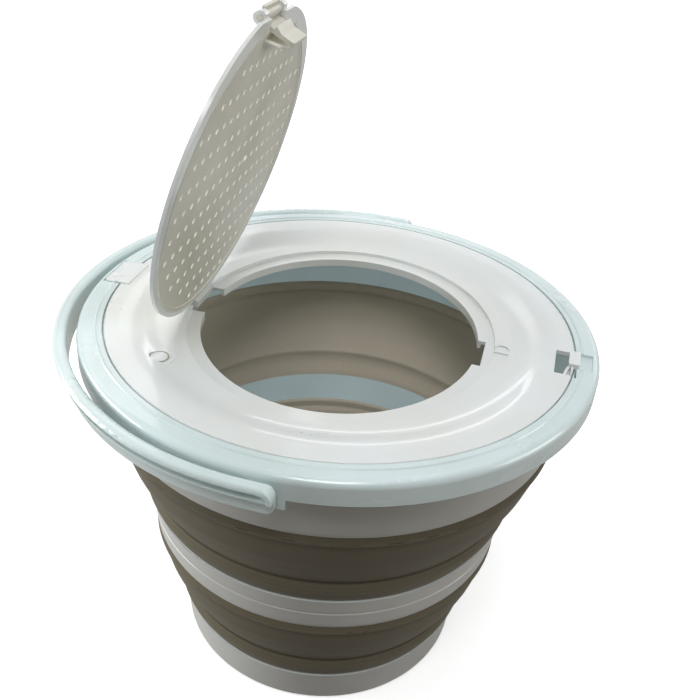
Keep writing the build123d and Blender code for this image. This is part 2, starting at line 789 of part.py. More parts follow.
export_step(lid_catch.part, "parts/lid_catch.step")

# ------------------------------------------------------------------ hatch body
tip_reach = hinge_reach + hatch_x
frame_x = screen_x + press_gap
frame_y = screen_y + press_gap
screen_u = hinge_reach + screen_shift
pivot_u = tip_reach - latch_pivot_inset
pivot_w = plate_high + latch_pivot_rise
with BuildPart() as hatch_frame:
    with BuildSketch(hatch_plane.offset(plate_low)):
        with Locations((hinge_reach, 0)):
            Ellipse(hatch_x, hatch_y)
        with Locations((neck_length / 2, 0)):
            Rectangle(neck_length, knuckle_width)
        with Locations((screen_u, 0)):
            Ellipse(frame_x, frame_y, mode=Mode.SUBTRACT)
    extrude(amount=hatch_thickness)
    with BuildSketch(hatch_plane.offset(plate_high - frame_ledge)):
        with Locations((screen_u, 0)):
            Ellipse(frame_x, frame_y)
            Ellipse(frame_x - frame_ledge_width, frame_y - frame_ledge_width, mode=Mode.SUBTRACT)
    extrude(amount=frame_ledge)
    # Seam round the screen, on the underside.
    with BuildSketch(hatch_plane.offset(plate_low)):
        with Locations((screen_u, 0)):
            Ellipse(frame_x + seam_width, frame_y + seam_width)
            Ellipse(frame_x - seam_width, frame_y - seam_width, mode=Mode.SUBTRACT)
    extrude(amount=seam_depth, mode=Mode.SUBTRACT)
    # Free end cut straight, with a gap where the latch lever turns.
    with BuildSketch(hatch_plane.offset(plate_low - overcut)):
        with Locations((tip_reach - latch_slot_depth / 2 + overcut, 0)):
            Rectangle(latch_slot_depth + 2 * overcut, latch_width + 2 * slide_gap)
        with Locations((tip_reach, 0)):
            Rectangle(2 * hatch_tip_cut, hatch_y)
    extrude(amount=hatch_thickness + 2 * overcut, mode=Mode.SUBTRACT)
    # Knuckle and neck of the hinge.
    with BuildSketch(hatch_plane.offset(plate_low - neck_gusset)):
        with Locations((neck_length / 2, 0)):
            Rectangle(neck_length, knuckle_width)
    extrude(amount=neck_gusset)
    with BuildSketch(Plane.XZ):
        with Locations((hinge_x, hinge_z)):
            Circle(knuckle_radius)
    extrude(amount=knuckle_width / 2, both=True)
    with BuildSketch(Plane.XZ):
        with Locations((hinge_x, hinge_z)):
            Circle(hinge_pin_radius + turn_gap)
    extrude(amount=knuckle_width / 2 + overcut, both=True, mode=Mode.SUBTRACT)
    # Open clips that hold the trunnions of the latch lever.
    clip_radius = latch_trunnion_radius + turn_gap + clip_wall
    for side in (1, -1):
        clip_y = side * (latch_width / 2 + slide_gap + clip_width / 2)
        clip_plane = Plane(
            origin=hatch_plane.from_local_coords((pivot_u, clip_y, pivot_w)),
            x_dir=open_dir,
            z_dir=(0, -1, 0),
        )
        with BuildSketch(clip_plane):
            Circle(clip_radius)
            with Locations((0, -latch_pivot_rise - clip_radius)):
                Rectangle(2 * clip_radius, 2 * clip_radius, mode=Mode.SUBTRACT)
            with Locations((-clip_radius / 2, -(latch_pivot_rise + clip_root) / 2)):
                Rectangle(clip_radius, latch_pivot_rise + clip_root)
            Circle(latch_trunnion_radius + turn_gap, mode=Mode.SUBTRACT)
            with Locations((clip_mouth, clip_mouth)):
                Rectangle(2 * clip_mouth, clip_mouth, rotation=45, mode=Mode.SUBTRACT)
        extrude(amount=clip_width / 2, both=True)
hatch_frame.part.label = "hatch_frame"
export_step(hatch_frame.part, "parts/hatch_frame.step")

with BuildPart() as hatch_screen:
    screen_top = plate_high - frame_ledge
    screen_low = screen_top - screen_depth
    plate_under = screen_top - screen_thickness
    holes_x = screen_x - screen_wall - hole_margin
    holes_y = screen_y - screen_wall - hole_margin
    hole_spots = [
        (hinge_reach + row * hole_pitch_u, (column + 0.5) * hole_pitch_v)
        for row in range(-hole_rows, hole_rows + 1)
        for column in range(-hole_columns, hole_columns)
        if ((row * hole_pitch_u - screen_shift) / holes_x) ** 2 + ((column + 0.5) * hole_pitch_v / holes_y) ** 2 < 1
    ]
    guard_u = screen_u + screen_x - guard_setback
    # Guard behind the latch hook: a rib that bows away from it, rounded at both corners.
    with BuildSketch(hatch_plane.offset(screen_low - guard_drop)):
        with BuildLine() as guard_line:
            ThreePointArc(
                (guard_u + guard_bow, -guard_width / 2),
                (guard_u, 0),
                (guard_u + guard_bow, guard_width / 2),
            )
        trace(guard_line.line, line_width=guard_wall)
    extrude(amount=guard_drop + screen_depth - screen_thickness / 2)
    guard_face = Plane(
        origin=hatch_plane.from_local_coords((guard_u, 0, screen_low)), x_dir=(0, 1, 0), z_dir=open_dir
    )
    with BuildSketch(guard_face):
        RectangleRounded(guard_width, 2 * guard_drop, guard_round)
    extrude(amount=2 * guard_bow, both=True, mode=Mode.INTERSECT)
    # Perforated plate, its rim and the mark of the mould gate.
    with BuildSketch(hatch_plane.offset(plate_under)):
        with Locations((screen_u, 0)):
            Ellipse(screen_x, screen_y)
        with Locations(*hole_spots):
            Circle(hole_diameter / 2, mode=Mode.SUBTRACT)
    extrude(amount=screen_thickness)
    with BuildSketch(hatch_plane.offset(screen_low)):
        with Locations((screen_u, 0)):
            Ellipse(screen_x, screen_y)
            Ellipse(screen_x - screen_wall, screen_y - screen_wall, mode=Mode.SUBTRACT)
    extrude(amount=screen_depth)
    with BuildSketch(hatch_plane.offset(plate_under)):
        with Locations((hinge_reach + gate_u, gate_v)):
            Ellipse(gate_width / 2, gate_length / 2)
    extrude(amount=gate_depth, mode=Mode.SUBTRACT)
hatch_screen.part.label = "hatch_screen"
export_step(hatch_screen.part, "parts/hatch_screen.step")

# ------------------------------------------------------------------ latch lever
lever_plane = Plane(
    origin=hatch_plane.from_local_coords((pivot_u, 0, pivot_w)),
    x_dir=(
        cos(radians(hatch_open_angle - latch_release_angle)),
        0,
        sin(radians(hatch_open_angle - latch_release_angle)),
    ),
    z_dir=(0, -1, 0),
)
with BuildPart() as hatch_latch:
    with BuildSketch(lever_plane):
        Circle(latch_barrel_radius)
        with Locations((-hook_setback / 2, 0)):
            Rectangle(hook_setback, hook_plate)
        with Locations((-hook_setback - hook_plate / 2, hook_plate / 2 - hook_drop / 2)):
            Rectangle(hook_plate, hook_drop)
        with BuildLine():
            Polyline(
                (-hook_setback, barb_top),
                (-hook_setback + hook_barb, barb_top),
                (-hook_setback, barb_top - 2 * hook_barb),
                close=True,
            )
        make_face()
        with BuildLine():
            Polyline(
                (0, latch_barrel_radius - thumb_plate),
                (thumb_reach, latch_barrel_radius - thumb_plate + thumb_rise),
                (thumb_reach, latch_barrel_radius + thumb_rise),
                (0, latch_barrel_radius),
                close=True,
            )
        make_face()
    extrude(amount=latch_width / 2, both=True)
    with BuildSketch(lever_plane):
        Circle(latch_trunnion_radius)
    extrude(amount=latch_width / 2 + slide_gap + clip_width, both=True)
hatch_latch.part.label = "hatch_latch"
export_step(hatch_latch.part, "parts/hatch_latch.step")
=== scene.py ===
"""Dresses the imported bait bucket: soft walls, rings, rim, handle, lid, hatch and latch."""

import logging
import math
from dataclasses import dataclass, field
from enum import Enum
from typing import Sequence, Union

import bmesh
import bpy
from mathutils import Matrix, Vector


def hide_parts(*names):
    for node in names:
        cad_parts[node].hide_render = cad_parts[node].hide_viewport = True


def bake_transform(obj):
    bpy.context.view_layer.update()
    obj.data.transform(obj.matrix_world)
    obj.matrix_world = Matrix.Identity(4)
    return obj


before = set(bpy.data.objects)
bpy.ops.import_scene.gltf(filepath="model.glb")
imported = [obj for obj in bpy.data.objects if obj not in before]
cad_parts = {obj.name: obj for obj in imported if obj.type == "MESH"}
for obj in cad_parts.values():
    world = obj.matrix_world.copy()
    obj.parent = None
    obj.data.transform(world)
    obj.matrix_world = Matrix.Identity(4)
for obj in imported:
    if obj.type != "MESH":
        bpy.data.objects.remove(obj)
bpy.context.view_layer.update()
LOG = logging.getLogger("bait_bucket")

Colour = tuple[float, float, float]
Stretch = tuple[float, float, float]

MM = 0.001
BLACK: Colour = (0.0, 0.0, 0.0)
WHITE: Colour = (1.0, 1.0, 1.0)

# Roundings of a turned section, in millimetres: as soft as its neighbours allow, or crisp.
SOFT = 40.0
CRISP = 0.2
# A corner that would be rounded over less than this, in millimetres, stays a plain point.
PLAIN_REACH = 1e-3
# Share of a side that a rounding may take, angle per step, and the loop that keeps a flat flat.
SIDE_SHARE = 0.45
STEP_ANGLE = 0.22
HOLD_LOOP = 0.15
HOLD_SHARE = 0.1

# Noise of the plastics: cells per metre, or the stretch of the point that is read.
CLOUD_SCALE = 14.0
FLOW_STRETCH: Stretch = (18.0, 18.0, 70.0)
SCUFF_STRETCH: Stretch = (240.0, 2600.0, 240.0)
# Noise of the elastomer.
DUSTING_SCALE = 9.0
MOULD_RING_STRETCH: Stretch = (9.0, 9.0, 420.0)
DUST_SCALE = 650.0
SKIN_SCALE = 2600.0
# Noise of the paper.
FIBRE_SCALE = 240.0
Value = Union["Signal", float, Sequence[float]]


class Slot(Enum):
    """Material slots of the record."""

    GREY = "grey_plastic"
    ELASTOMER = "taupe_elastomer"
    RIM = "rim_plastic"
    LID = "lid_plastic"


class Finish(Enum):
    """Finishes of the pieces."""

    RING = "ring_grey"
    WALL = "wall_taupe"
    GASKET = "gasket_taupe"
    RIM = "rim_ice"
    LID = "lid_white"
    # Painted shade: the screen and the latch are the lid's white plastic, made darker and
    # beige-grey for the shade they sit in.
    SCREEN = "screen_shaded_white"
    LATCH = "latch_shaded_white"


class Signal:
    """A node's output that takes part in arithmetic and adds Math nodes as it goes."""

    def __init__(self, graph: "NodeGraph", socket: bpy.types.NodeSocket) -> None:
        """Wraps one output socket of a graph."""
        self.graph = graph
        self.socket = socket

    def maths(self, operation: str, other: Value = 0.0, swapped: bool = False) -> "Signal":
        """Adds one Math node.

        Args:
            operation: The Math node's operation.
            other: The second operand.
            swapped: Whether the operand stands first.

        Returns:
            The node's result.
        """
        first, second = (other, self) if swapped else (self, other)
        return self.graph.add("ShaderNodeMath", {"operation": operation}, {0: first, 1: second})

    def __add__(self, other: Value) -> "Signal":
        """Sum."""
        return self.maths("ADD", other)

    def __radd__(self, other: Value) -> "Signal":
        """Sum, reflected."""
        return self.maths("ADD", other, True)

    def __sub__(self, other: Value) -> "Signal":
        """Difference."""
        return self.maths("SUBTRACT", other)

    def __rsub__(self, other: Value) -> "Signal":
        """Difference, reflected."""
        return self.maths("SUBTRACT", other, True)

    def __mul__(self, other: Value) -> "Signal":
        """Product."""
        return self.maths("MULTIPLY", other)

    def __rmul__(self, other: Value) -> "Signal":
        """Product, reflected."""
        return self.maths("MULTIPLY", other, True)

    def ramp(self, low: float, high: float, start: float = 0.0, end: float = 1.0) -> "Signal":
        """Maps low..high smoothly to start..end, clamped.

        Args:
            low: The value that gives start.
            high: The value that gives end.
            start: The result at low.
            end: The result at high.

        Returns:
            The mapped value.
        """
        return self.graph.add(
            "ShaderNodeMapRange",
            {"interpolation_type": "SMOOTHSTEP", "clamp": True},
            {"Value": self, "From Min": low, "From Max": high, "To Min": start, "To Max": end},
        )


class NodeGraph:
    """A material's node tree, written one node at a time."""

    def __init__(self, tree: bpy.types.NodeTree) -> None:
        """Clears a node tree to write in."""
        self.tree = tree
        tree.nodes.clear()

    def feed(self, socket: bpy.types.NodeSocket, value: Value) -> None:
        """Links a signal to a socket, or sets the socket's own value."""
        if isinstance(value, Signal):
            self.tree.links.new(value.socket, socket)
        elif socket.type == "RGBA" and not isinstance(value, (int, float)) and len(value) == 3:
            socket.default_value = (*value, 1.0)
        else:
            socket.default_value = value

    def add(
        self,
        kind: str,
        settings: dict[str, object] | None = None,
        sockets: dict[int | str, Value] | None = None,
        output: int | str = 0,
    ) -> Signal:
        """Adds any node.

        Args:
            kind: The node's type.
            settings: Its settings, set first.
            sockets: Values or signals for its inputs.
            output: Which output to return.

        Returns:
            The chosen output.
        """
        node = self.tree.nodes.new(kind)
        for key, value in (settings or {}).items():
            setattr(node, key, value)
        for key, value in (sockets or {}).items():
            self.feed(node.inputs[key], value)
        return Signal(self, node.outputs[output] if node.outputs else None)

    def place(self, stretch: Sequence[float] = (1.0, 1.0, 1.0)) -> Signal:
        """Point on the piece, in metres, with each axis stretched."""
        point = self.add("ShaderNodeTexCoord", output="Object")
        return self.add("ShaderNodeMapping", sockets={"Vector": point, "Scale": stretch})

    def noise(self, at: Signal, scale: float, detail: float = 2.0, rough: float = 0.5) -> Signal:
        """Noise value between 0 and 1.

        Args:
            at: Where it is read.
            scale: Cells per metre.
            detail: Octaves.
            rough: Weight of the finer octaves.

        Returns:
            The noise.
        """
        sockets = {"Vector": at, "Scale": scale, "Detail": detail, "Roughness": rough}
        return self.add("ShaderNodeTexNoise", {}, sockets)

    def inward(self) -> Signal:
        """Mask of the faces that look towards the bucket's axis."""
        facing = self.add("ShaderNodeNewGeometry", output="Normal")
        sockets = {0: facing, 1: self.place((1.0, 1.0, 0.0))}
        turned = self.add("ShaderNodeVectorMath", {"operation": "DOT_PRODUCT"}, sockets, "Value")
        return turned.ramp(0.01, -0.01)

    def across(self, facing: Vector) -> Signal:
        """Mask of the faces that stand across a plate which faces one way.

        Args:
            facing: The way in which the plate faces, on the piece itself.

        Returns:
            1 on its edges and in its holes, 0 on its flats.
        """
        turned = self.add(
            "ShaderNodeVectorMath",
            {"operation": "DOT_PRODUCT"},
            {0: self.add("ShaderNodeTexCoord", output="Normal"), 1: tuple(facing)},
            "Value",
        )
        return turned.maths("ABSOLUTE").ramp(0.75, 0.35)

    def mix(self, factor: Value, first: Value, second: Value) -> Signal:
        """Mixes two colours by a factor."""
        sockets = {0: factor, 6: first, 7: second}
        return self.add("ShaderNodeMix", {"data_type": "RGBA"}, sockets, 2)

    def bump(self, height: Signal, distance: float, strength: float, edge: float = 0.0) -> Signal:
        """Normal bent by a height map, over edges rounded to a radius.

        Args:
            height: The height map.
            distance: Its full range in metres.
            strength: How much of it shows.
            edge: Radius of the rounded edges in metres, 0 for none.

        Returns:
            The bent normal.
        """
        sockets: dict[int | str, Value] = {
            "Height": height,
            "Distance": distance,
            "Strength": strength,
        }
        if edge:
            sockets["Normal"] = self.add("ShaderNodeBevel", {"samples": 6}, {"Radius": edge})
        return self.add("ShaderNodeBump", {}, sockets)

    def surface(self, sockets: dict[int | str, Value]) -> None:
        """Ends the graph in one Principled shader."""
        shader = self.add("ShaderNodeBsdfPrincipled", {}, sockets)
        self.add("ShaderNodeOutputMaterial", {}, {"Surface": shader})


@dataclass(frozen=True)
class MouldedPlastic:
    """Injection moulded polypropylene: satin, cloudy, with flow lines and fine scuffs.

    The painted inside tone, where there is one, covers the faces towards the bucket's axis: painted
    light and shade of the interior. A painted glow (emission) stands for light through the thin
    wall, there or on the edges of a perforated plate.
    """

    name: str
    tone: Colour
    shade: Colour
    roughness: float
    gloss: float
    grain_mm: float = 0.35
    grain_depth: float = 0.02
    glow: float = 0.05
    edge_mm: float = 0.4
    # Painted light and shade of the interior: the tone of the faces towards the axis, or None.
    painted_inside_tone: Colour | None = None
    # Colour of the painted glow (emission), which stands for light through the wall or its holes.
    through: Colour = BLACK
    facing: Vector | None = None
    # Painted light: the pale colour painted on the hole walls and edges of a perforated plate.
    painted_hole_light: Colour = (0.93, 0.92, 0.82)
    flow_roughness: float = 0.14
    scuff_roughness: float = 0.05
    flow_relief: float = 0.6
    scuff_relief: float = 0.3
    relief_strength: float = 0.6

    def material(self) -> bpy.types.Material:
        """Builds the material.

        Returns:
            The finished material.
        """
        made = bpy.data.materials.new(self.name)
        made.use_nodes = True
        graph = NodeGraph(made.node_tree)
        at = graph.place()
        cloud = graph.noise(at, CLOUD_SCALE, 3.0)
        flow = graph.noise(graph.place(FLOW_STRETCH), 1.0, 4.0, 0.6)
        scuff = graph.noise(graph.place(SCUFF_STRETCH), 1.0, 2.0).ramp(0.66, 0.80)
        grain = graph.noise(at, 1.0 / (self.grain_mm * MM), 2.0)
        colour = graph.mix(cloud.ramp(0.35, 0.7), self.tone, self.shade)
        lit: Value = self.through
        # Painted inside light and shade: faces towards the axis take another tone and a painted
        # glow.
        if self.painted_inside_tone:
            inward = graph.inward()
            colour = graph.mix(inward, colour, self.painted_inside_tone)
            thin = inward * cloud.ramp(0.2, 0.8, 0.7, 1.0)
            lit = graph.mix(thin, BLACK, self.through)
        # Painted light on a perforated plate: its hole walls and edges are painted pale, and cloudy
        # patches of them get a painted glow.
        if self.facing:
            edges = graph.across(self.facing)
            colour = graph.mix(edges, colour, self.painted_hole_light)
            pale = edges * cloud.ramp(0.3, 0.6)
            lit = graph.mix(pale, BLACK, self.through)
        rough = self.roughness + (flow - 0.5) * self.flow_roughness + scuff * self.scuff_roughness
        height = grain + flow * self.flow_relief + scuff * self.scuff_relief
        edge = self.edge_mm * MM
        bent = graph.bump(height, self.grain_depth * MM, self.relief_strength, edge)
        graph.surface(
            {
                "Base Color": colour,
                "Roughness": rough,
                "IOR": 1.49,
                "Subsurface Weight": self.glow,
                "Subsurface Radius": (1.0, 0.9, 0.8),
                "Subsurface Scale": 0.004,
                "Coat Weight": self.gloss,
                "Coat Roughness": 0.08,
                # Emission carries only the painted glow.
                "Emission Color": lit,
                "Emission Strength": 1.0 if self.painted_inside_tone or self.facing else 0.0,
                "Normal": bent,
            }
        )
        return made


@dataclass(frozen=True)
class SoftElastomer:
    """Thermoplastic rubber: matte and dusty, with painted shade in its creases, a painted highlight
    on its ridges and a painted lighter inside.
    """

    name: str
    tone: Colour
    bloom: Colour
    roughness: float
    # Painted inside light: the tone of the faces towards the axis, lighter than the outside.
    painted_inside_tone: Colour
    # Painted highlight: the lighter colour painted on convex ridges.
    painted_ridge_light: Colour = (0.20, 0.178, 0.130)
    # Painted shade: the colour painted into creases.
    painted_crease_shade: Colour = (0.045, 0.036, 0.022)
    crease_shade_share: float = 0.75
    ridge_light_share: float = 0.4
    bloom_share: float = 0.5
    dust_share: float = 0.3
    inner_dust_share: float = 0.3
    ring_relief: float = 0.8
    skin_depth: float = 0.03
    relief_strength: float = 0.6

    def material(self) -> bpy.types.Material:
        """Builds the material.

        Returns:
            The finished material.
        """
        made = bpy.data.materials.new(self.name)
        made.use_nodes = True
        graph = NodeGraph(made.node_tree)
        at = graph.place()
        cloud = graph.noise(at, DUSTING_SCALE, 3.0, 0.5)
        rings = graph.noise(graph.place(MOULD_RING_STRETCH), 1.0, 3.0)
        dust = graph.noise(at, DUST_SCALE, 3.0, 0.65).ramp(0.56, 0.74)
        grain = graph.noise(at, SKIN_SCALE, 2.0)
        worn = cloud.ramp(0.3, 0.75) * self.bloom_share + dust * self.dust_share
        bend = graph.add("ShaderNodeNewGeometry", output="Pointiness")
        # Masks from the surface's bend: creases for painted shade, ridges for a painted highlight.
        crease = bend.ramp(0.500, 0.485)
        ridge = bend.ramp(0.502, 0.515)
        dusty = graph.mix(worn, self.tone, self.bloom)
        # Painted highlight: convex ridges lightened where light falls on them.
        outer = graph.mix(ridge * self.ridge_light_share, dusty, self.painted_ridge_light)
        # Painted shade: creases darkened where shade falls.
        outer = graph.mix(crease * self.crease_shade_share, outer, self.painted_crease_shade)
        # Painted inside light: the faces towards the axis take a far lighter tone for the light
        # falling in through the opening.
        inside = graph.mix(worn * self.inner_dust_share, self.painted_inside_tone, self.bloom)
        height = grain + rings * self.ring_relief
        graph.surface(
            {
                "Base Color": graph.mix(graph.inward(), outer, inside),
                "Roughness": self.roughness + (rings - 0.5) * 0.10 + dust * 0.10,
                "IOR": 1.32,
                "Sheen Weight": 0.05,
                "Sheen Roughness": 0.5,
                "Normal": graph.bump(height, self.skin_depth * MM, self.relief_strength),
            }
        )
        return made


@dataclass(frozen=True)
class StudioPaper:
    """Seamless pale paper of the floor, bright to the camera and to reflections."""

    name: str
    tone: Colour
    fibre_tone: Colour = (0.84, 0.84, 0.84)
    shadowed: Colour = (0.12, 0.105, 0.085)
    reflected: float = 0.4
    lit_near: Colour = (0.48, 0.48, 0.48)
    lit_far: Colour = (0.95, 0.95, 0.95)
    fade_from: float = 0.5
    fade_to: float = 1.8

    def material(self) -> bpy.types.Material:
        """Builds the material.

        Returns:
            The finished material.
        """
        made = bpy.data.materials.new(self.name)
        made.use_nodes = True
        graph = NodeGraph(made.node_tree)
        seen = graph.add("ShaderNodeLightPath", output="Is Camera Ray")
        glossy = graph.add("ShaderNodeLightPath", output="Is Glossy Ray")
        fibre = graph.noise(graph.place(), FIBRE_SCALE, 3.0)
        lift = (seen + glossy * self.reflected).ramp(0.0, 1.0)
        far = graph.add(
            "ShaderNodeVectorMath", {"operation": "LENGTH"}, {0: graph.place()}, "Value"
        ).ramp(self.fade_from, self.fade_to)
        shine = graph.mix(far, self.lit_near, self.lit_far)
        sheet = graph.mix(fibre * 0.4, self.tone, self.fibre_tone)
        graph.surface(
            {
                "Base Color": graph.mix(lift, self.shadowed, sheet),
                "Roughness": 0.9,
                "Emission Color": graph.mix(lift, BLACK, shine),
                "Emission Strength": 1.0,
                "Normal": graph.bump(fibre, 0.05 * MM, 0.3),
            }
        )
        return made


def plate_facing(node: str) -> Vector:
    """The way in which a flat plate's largest face looks.

    Args:
        node: The plate's name.

    Returns:
        The face's normal.
    """
    return max(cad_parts[node].data.polygons, key=lambda face: face.area).normal.copy()


class Finishes:
    """Every finish of the bucket, made once."""

    def __init__(self) -> None:
        """Builds the materials."""
        recipes: tuple[MouldedPlastic | SoftElastomer, ...] = (
            MouldedPlastic(Finish.LID.value, (0.75, 0.78, 0.78), (0.72, 0.73, 0.70), 0.30, 0.45),
            # Painted shade: the lid's white, darker and beige-grey for the screen's shaded
            # underside.
            MouldedPlastic(
                Finish.SCREEN.value,
                (0.66, 0.65, 0.58),
                (0.58, 0.56, 0.48),
                0.42,
                0.08,
                # painted glow (emission) on the hole edges, standing for light through the holes
                through=(0.10, 0.097, 0.08),
                facing=plate_facing("hatch_screen"),
            ),
            # Painted shade: the lid's white, darker and beige-grey for the latch in shade.
            MouldedPlastic(Finish.LATCH.value, (0.70, 0.68, 0.61), (0.62, 0.60, 0.52), 0.42, 0.08),
            MouldedPlastic(Finish.RIM.value, (0.67, 0.77, 0.78), (0.60, 0.70, 0.69), 0.26, 0.5),
            MouldedPlastic(
                Finish.RING.value,
                (0.56, 0.56, 0.54),
                (0.51, 0.50, 0.48),
                0.40,
                0.08,
                # painted inside light and shade: a darker, bluer tone and a painted glow (emission)
                # on the faces towards the axis
                painted_inside_tone=(0.42, 0.47, 0.49),
                through=(0.125, 0.165, 0.172),
            ),
            SoftElastomer(
                Finish.WALL.value,
                (0.120, 0.101, 0.065),
                (0.140, 0.121, 0.083),
                0.58,
                # painted inside light: the much lighter tone of the wall's inward faces
                (0.65, 0.57, 0.47),
            ),
            SoftElastomer(
                Finish.GASKET.value,
                (0.40, 0.38, 0.33),
                (0.46, 0.44, 0.39),
                0.50,
                (0.46, 0.44, 0.39),
            ),
        )
        self.made: dict[Finish, bpy.types.Material] = {
            Finish(recipe.name): recipe.material() for recipe in recipes
        }

    def dress(self, piece: bpy.types.Object, finish: Finish) -> None:
        """Gives a new piece its finish."""
        piece.data.materials.clear()
        piece.data.materials.append(self.made[finish])

    def coat(self, node: bpy.types.Object, finish: Finish) -> None:
        """Puts a finish in every material slot of a solid's object."""
        for place in node.material_slots:
            place.material = self.made[finish]


@dataclass(frozen=True)
class Corner:
    """A corner of a turned section, in millimetres, with the radius that rounds it."""

    radius: float
    height: float
    rounding: float


class TurnedPiece:
    """A ring turned about the bucket's axis from a rounded section."""

    def __init__(self, name: str, section: Sequence[Corner], turns: int = 240) -> None:
        """Keeps the section and how finely it is turned."""
        self.name = name
        self.section = section
        self.turns = turns

    def _rounded(self) -> list[tuple[float, float]]:
        """Section with its corners rounded and its flats kept flat by close loops.

        Returns:
            Points of the closed section.
        """
        line: list[tuple[float, float]] = []
        count = len(self.section)
        for index, corner in enumerate(self.section):
            here = Vector((corner.radius, corner.height))
            back = Vector((self.section[index - 1].radius, self.section[index - 1].height)) - here
            ahead_corner = self.section[(index + 1) % count]
            ahead = Vector((ahead_corner.radius, ahead_corner.height)) - here
            turn = math.pi - back.angle(ahead)
            reach = corner.rounding * math.tan(turn / 2)
            reach = min(reach, SIDE_SHARE * back.length, SIDE_SHARE * ahead.length)
            if reach < PLAIN_REACH:
                line.append(tuple(here))
                continue
            start = here + back.normalized() * reach
            end = here + ahead.normalized() * reach
            steps = max(2, int(turn / STEP_ANGLE))
            hold = min(HOLD_LOOP, HOLD_SHARE * back.length)
            line.append(tuple(start + back.normalized() * hold))
            for step in range(steps + 1):
                share = step / steps
                low = start.lerp(here, share)
                high = here.lerp(end, share)
                line.append(tuple(low.lerp(high, share)))
            hold = min(HOLD_LOOP, HOLD_SHARE * ahead.length)
            line.append(tuple(end + ahead.normalized() * hold))
        return line

    def build(self) -> bpy.types.Object:
        """Turns the section.

        Returns:
            The finished piece.
        """
        shape = bmesh.new()
        rings = [self._ring(shape, radius * MM, height * MM) for radius, height in self._rounded()]
        for index, ring in enumerate(rings):
            self._join(shape, ring, rings[(index + 1) % len(rings)])
        bmesh.ops.recalc_face_normals(shape, faces=shape.faces)
        return mesh_object(self.name, shape)

    def _ring(
        self, shape: bmesh.types.BMesh, radius: float, height: float
    ) -> list[bmesh.types.BMVert]:
        """One circle of points about the axis.

        Args:
            shape: The bmesh that gets them.
            radius: Its radius in metres.
            height: Its height in metres.

        Returns:
            The points.
        """
        angles = [2 * math.pi * k / self.turns for k in range(self.turns)]
        return [
            shape.verts.new((radius * math.cos(angle), radius * math.sin(angle), height))
            for angle in angles
        ]

    def _join(
        self,
        shape: bmesh.types.BMesh,
        ring: list[bmesh.types.BMVert],
        other: list[bmesh.types.BMVert],
    ) -> None:
        """Joins two neighbouring circles with faces."""
        for k in range(self.turns):
            after = (k + 1) % self.turns
            shape.faces.new((ring[k], other[k], other[after], ring[after]))


def mesh_object(name: str, shape: bmesh.types.BMesh) -> bpy.types.Object:
    """Turns a bmesh into a smooth-shaded object.

    Args:
        name: The object's name.
        shape: Its bmesh, which is freed.

    Returns:
        The object, linked to the scene.
    """
    mesh = bpy.data.meshes.new(name)
    shape.to_mesh(mesh)
    shape.free()
    for face in mesh.polygons:
        face.use_smooth = True
    made = bpy.data.objects.new(name, mesh)
    bpy.context.scene.collection.objects.link(made)
    return made


@dataclass
class SoftWall:
    """One folding wall: a full skirt, a crease, a bowed wall and a flared collar."""

    node: str
    below: str
    above: str
    bottom_radius: float
    bottom: float
    fold_radius: float
    top_radius: float
    top: float
    wall: float = 2.4
    fold_rise: float = 19.4
    collar: float = 9.2
    tuck: float = 1.3
    lip: float = 0.1
    crease: float = 1.9
    skirt_fullness: float = 1.3
    wall_bow: float = 0.8
    # Each profile pairs a distance in millimetres with a share of the size it is named for.
    skirt_profile: tuple[tuple[float, float], ...] = (
        (12.5, 0.6),
        (8.5, 1.0),
        (5.5, 0.6),
        (2.6, -0.3),
    )
    crease_profile: tuple[tuple[float, float], ...] = ((0.8, -1.0), (4.5, -0.45))
    bow_profile: tuple[tuple[float, float], ...] = ((12.0, 0.6), (22.0, 1.0))
    # The collar's corners, as a drop below its top and a distance proud of it, in millimetres.
    collar_profile: tuple[tuple[float, float], ...] = ((6.2, -0.1), (3.8, -0.8))

    def section(self) -> list[Corner]:
        """Section of the wall, with its soft corners.

        Returns:
            The corners, outside first.
        """
        fold = self.bottom + self.fold_rise
        neck = self.top - self.collar
        low_slope = (self.fold_radius - self.bottom_radius) / self.fold_rise
        high_slope = (self.top_radius - self.fold_radius) / (neck - fold)

        def skirt(drop: float, proud: float) -> Corner:
            """Corner a drop below the crease, proud of the straight skirt."""
            return Corner(self.fold_radius - drop * low_slope + proud, fold - drop, SOFT)

        def side(rise: float, proud: float) -> Corner:
            """Corner a rise above the crease, proud of the straight wall."""
            return Corner(self.fold_radius + rise * high_slope + proud, fold + rise, SOFT)

        def flare(drop: float, proud: float) -> Corner:
            """Corner of the collar, a drop below its top."""
            return Corner(self.top_radius + proud, self.top - drop, SOFT)

        outside = [
            skirt(self.fold_rise - 3.0, -0.2),
            *(skirt(drop, share * self.skirt_fullness) for drop, share in self.skirt_profile),
            skirt(0.6, -0.9 * self.crease),
            *(side(rise, share * self.crease) for rise, share in self.crease_profile),
            *(side(rise, share * self.wall_bow) for rise, share in self.bow_profile),
            side(neck - fold - 6.0, -0.4),
            side(neck - fold - 1.2, -1.5),
            flare(8.5, -0.9),
            flare(7.6, self.lip),
            *(flare(drop, proud) for drop, proud in self.collar_profile),
            flare(1.6, -self.tuck),
        ]
        inside = [
            Corner(corner.radius - self.wall, corner.height, SOFT) for corner in reversed(outside)
        ]
        return [
            Corner(self.bottom_radius - self.tuck, self.bottom, CRISP),
            *outside,
            Corner(self.top_radius - self.tuck, self.top, CRISP),
            Corner(self.top_radius - self.wall, self.top, CRISP),
            *inside,
            Corner(self.bottom_radius - self.wall, self.bottom, CRISP),
        ]

    def build(self, finishes: Finishes) -> bpy.types.Object:
        """Builds the wall in place of its solid.

        Args:
            finishes: The finishes to dress it with.

        Returns:
            The wall.
        """
        piece = TurnedPiece(f"{self.node}_skin", self.section()).build()
        finishes.dress(piece, Finish.WALL)
        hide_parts(self.node)
        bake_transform(piece)
        LOG.info("built %s", piece.name)
        return piece


